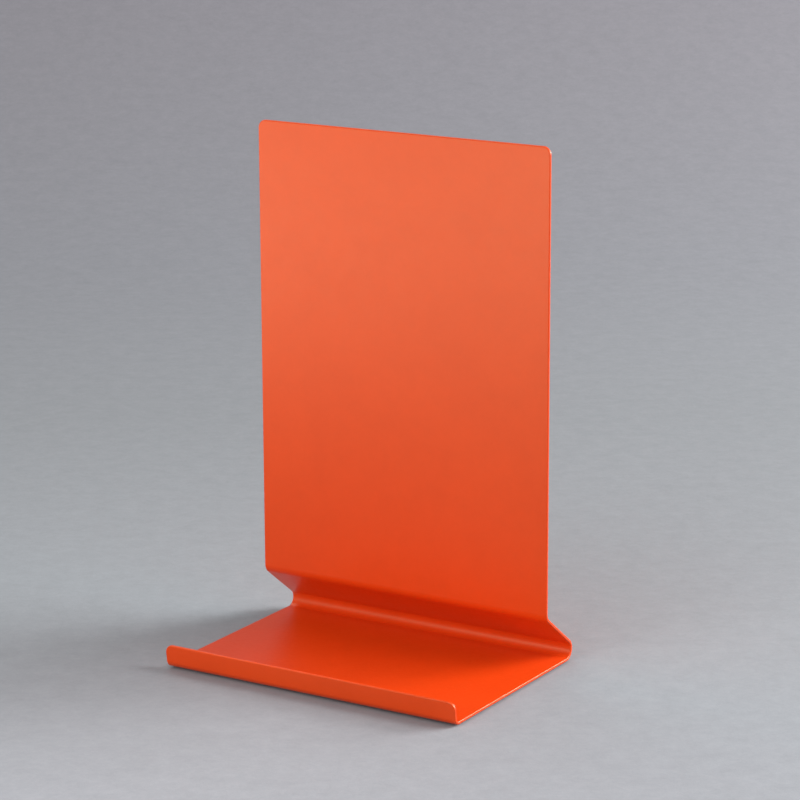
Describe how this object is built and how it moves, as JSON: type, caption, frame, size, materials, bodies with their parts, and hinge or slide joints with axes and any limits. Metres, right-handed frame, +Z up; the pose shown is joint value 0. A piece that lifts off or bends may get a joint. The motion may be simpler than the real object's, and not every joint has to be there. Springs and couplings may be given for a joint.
{
  "type": "book stand",
  "caption": "Upright book stand folded from one coated steel sheet: front lip, flat base, riser that leans forward and a tall vertical panel, on thin anti-slip pads.",
  "frame": {"origin": "on the table under the middle of the stand's footprint, at the height of the pads' undersides", "axes": "+X along the folds to the reader's right, +Y from the lip to the back, +Z up"},
  "size_m": [0.2, 0.1399, 0.3165],
  "materials": {
    "powder_coated_steel": "satin powder coat, orange red",
    "pad_rubber": "translucent anti-slip polyurethane"
  },
  "bodies": {
    "root": {"folded_sheet": "powder_coated_steel", "anti_slip_pad_front_left": "pad_rubber", "anti_slip_pad_front_right": "pad_rubber", "anti_slip_pad_rear_left": "pad_rubber", "anti_slip_pad_rear_right": "pad_rubber"}
  },
  "joints": []
}
